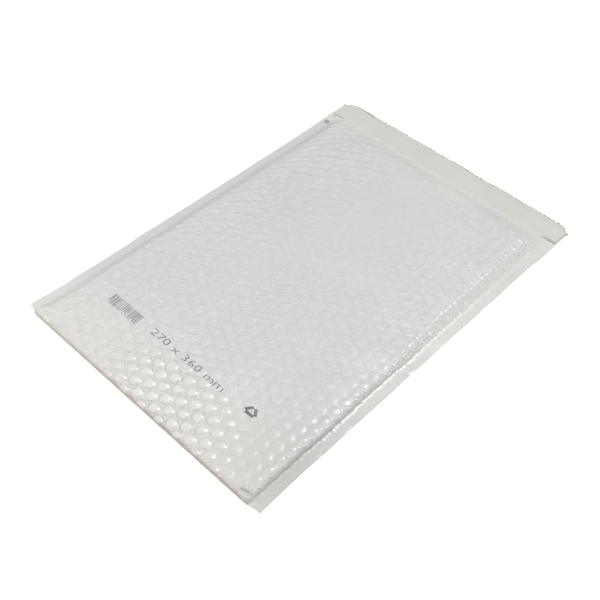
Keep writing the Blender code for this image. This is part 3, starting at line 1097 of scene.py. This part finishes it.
def patchGrid(quads, name, material, cells):
    # each plane quad becomes cells x cells small faces that follow the film
    t = np.linspace(0, 1, cells + 1)
    a, b = np.meshgrid(t, t, indexing="ij")
    weights = np.stack([(1 - a) * (1 - b), a * (1 - b), a * b, (1 - a) * b], axis=-1)
    places = np.einsum("xyk,qkc->qxyc", weights, np.array(quads, float))
    points = onFront(places[..., 0], places[..., 1])
    index = np.arange(points.size // 3).reshape(points.shape[:-1])
    faces = [index[:, :-1, :-1], index[:, 1:, :-1], index[:, 1:, 1:], index[:, :-1, 1:]]
    faces = np.stack(faces, axis=-1).reshape(-1, 4)
    return newPiece(name, points.reshape(-1, 3), faces.tolist(), material)


def barQuads():
    # upright bars of random width and gap, some a little shorter: they stand for no number
    given = printed["bars"]
    rng = np.random.default_rng(given["seed"])
    quads = []
    x = given["left"]
    while x < given["right"] - 1.0:
        end = x + rng.choice(given["widths"])
        foot = given["bottom"] + rng.choice(given["feet"])
        quads.append([(x, foot), (end, foot), (end, given["top"]), (x, given["top"])])
        x = end + rng.choice(given["gaps"])
    return quads


def signQuads():
    # three bars set round a triangle
    given = printed["sign"]
    centre = np.array(given["middle"])
    turns = [2 * math.pi * k / 3 for k in range(4)]
    corners = [centre + given["size"] * np.array([given["wide"] * math.sin(a), math.cos(a)]) for a in turns]
    quads = []
    for first, second in zip(corners, corners[1:]):
        inward = centre - (first + second) / 2
        inward = inward / np.linalg.norm(inward) * given["thick"]
        start = first + given["from"] * (second - first)
        stop = first + given["to"] * (second - first)
        quads.append([start, start + inward, stop + inward, stop])
    return quads


def makeSizeText():
    # plain figures for the size of the contents, cut fine enough to follow the film
    given = printed["size"]
    curve = bpy.data.curves.new("sizeText", "FONT")
    curve.body = given["words"]
    curve.resolution_u = 3
    curve.offset = -given["thinned"]
    source = bpy.data.objects.new("sizeText", curve)
    bpy.context.scene.collection.objects.link(source)
    shaped = source.evaluated_get(bpy.context.evaluated_depsgraph_get())
    flat = bpy.data.meshes.new_from_object(shaped)
    bpy.data.objects.remove(source)
    bm = bmesh.new()
    bm.from_mesh(flat)
    bmesh.ops.triangulate(bm, faces=bm.faces)
    bmesh.ops.subdivide_edges(bm, edges=bm.edges, cuts=2)
    bmesh.ops.triangulate(bm, faces=bm.faces)
    place = np.array([vert.co[:2] for vert in bm.verts])
    faces = [[vert.index for vert in face.verts] for face in bm.faces]
    bm.free()
    share = (place - place.min(axis=0)) / np.ptp(place, axis=0)
    x = given["left"] + share[:, 0] * (given["right"] - given["left"])
    y = given["bottom"] + share[:, 1] * (given["top"] - given["bottom"])
    return newPiece("sizeText", onFront(x, y), faces, darkInk)


def makeSpot(name, x, y, across, along, material):
    # an oval patch: rings of points round a middle point
    turn = np.linspace(0, 2 * math.pi, 24, endpoint=False)[None, :]
    ring = np.array([0.02, 0.4, 0.75, 1.0])[:, None]
    points = onFront(x + across * ring * np.cos(turn), y + along * ring * np.sin(turn))
    index, quads = ringQuads(*points.shape[:2])
    return newPiece(name, points.reshape(-1, 3), quads.tolist() + [index[0].tolist()], material)


register(patchGrid(barQuads(), "markBars", darkInk, 3), "white_film")
register(patchGrid(signQuads(), "markSign", darkInk, 4), "white_film")
register(makeSizeText(), "white_film")
for number, spot in enumerate(printed["spots"]):
    register(makeSpot("markSpot" + str(number + 1), *spot, greyInk), "white_film")
print("marks made")

# Floor and light: each lamp's place, what it faces, its size, power and colour
stage = {"size": 6.0, "color": (0.55, 0.54, 0.52), "glow": 1.2, "sky": 0.555}
white = (1.0, 1.0, 1.0)
warmWhite = (1.0, 0.985, 0.96)
lamps = {
    "farSoftbox": ((-0.42, 1.83, 3.38), (0, 0, 0), (0.8, 0.6), 32, white),
    "frontStrip": ((-1.1, -1.9, 2.0), (0, -0.2, 0), (0.5, 0.35), 6, warmWhite),
    "rightStrip": ((2.3, 0.6, 1.2), (0.1, 0, 0), (0.5, 1.2), 14, warmWhite),
    "frontFill": ((-0.35, -0.75, 0.55), (-0.05, -0.15, 0), (0.4, 0.3), 1.5, warmWhite),
}


def makeFloor():
    # white to the camera, and a dimmer grey to the object above it
    half = stage["size"] / 2
    mesh = bpy.data.meshes.new("floor")
    corners = [(-half, -half, 0), (half, -half, 0), (half, half, 0), (-half, half, 0)]
    mesh.from_pydata(corners, [], [(0, 1, 2, 3)])
    material, tree, shader = newMaterial("floorWhite", stage["color"], 0.9, 0.1)
    shader.inputs["Emission Color"].default_value = (*white, 1)
    seen = tree.nodes.new("ShaderNodeLightPath").outputs["Is Camera Ray"]
    tree.links.new(times(tree, seen, stage["glow"]), shader.inputs["Emission Strength"])
    mesh.materials.append(material)
    floor = bpy.data.objects.new("floor", mesh)
    bpy.context.scene.collection.objects.link(floor)


def makeLight(name, place, aim, size, power, color):
    data = bpy.data.lights.new(name, "AREA")
    data.shape = "RECTANGLE"
    data.size, data.size_y = size
    data.energy = power
    data.color = color
    light = bpy.data.objects.new(name, data)
    light.location = place
    light.rotation_mode = "QUATERNION"
    light.rotation_quaternion = (Vector(aim) - Vector(place)).to_track_quat("-Z", "Y")
    bpy.context.scene.collection.objects.link(light)


def makeWorld(color, strength):
    world = bpy.data.worlds.new("studio")
    world.use_nodes = True
    background = world.node_tree.nodes["Background"]
    background.inputs["Color"].default_value = (*color, 1)
    background.inputs["Strength"].default_value = strength
    bpy.context.scene.world = world


makeFloor()
makeWorld(white, stage["sky"])
for name, lamp in lamps.items():
    makeLight(name, *lamp)
bpy.context.scene.view_settings.view_transform = "Standard"
print("floor and light set")
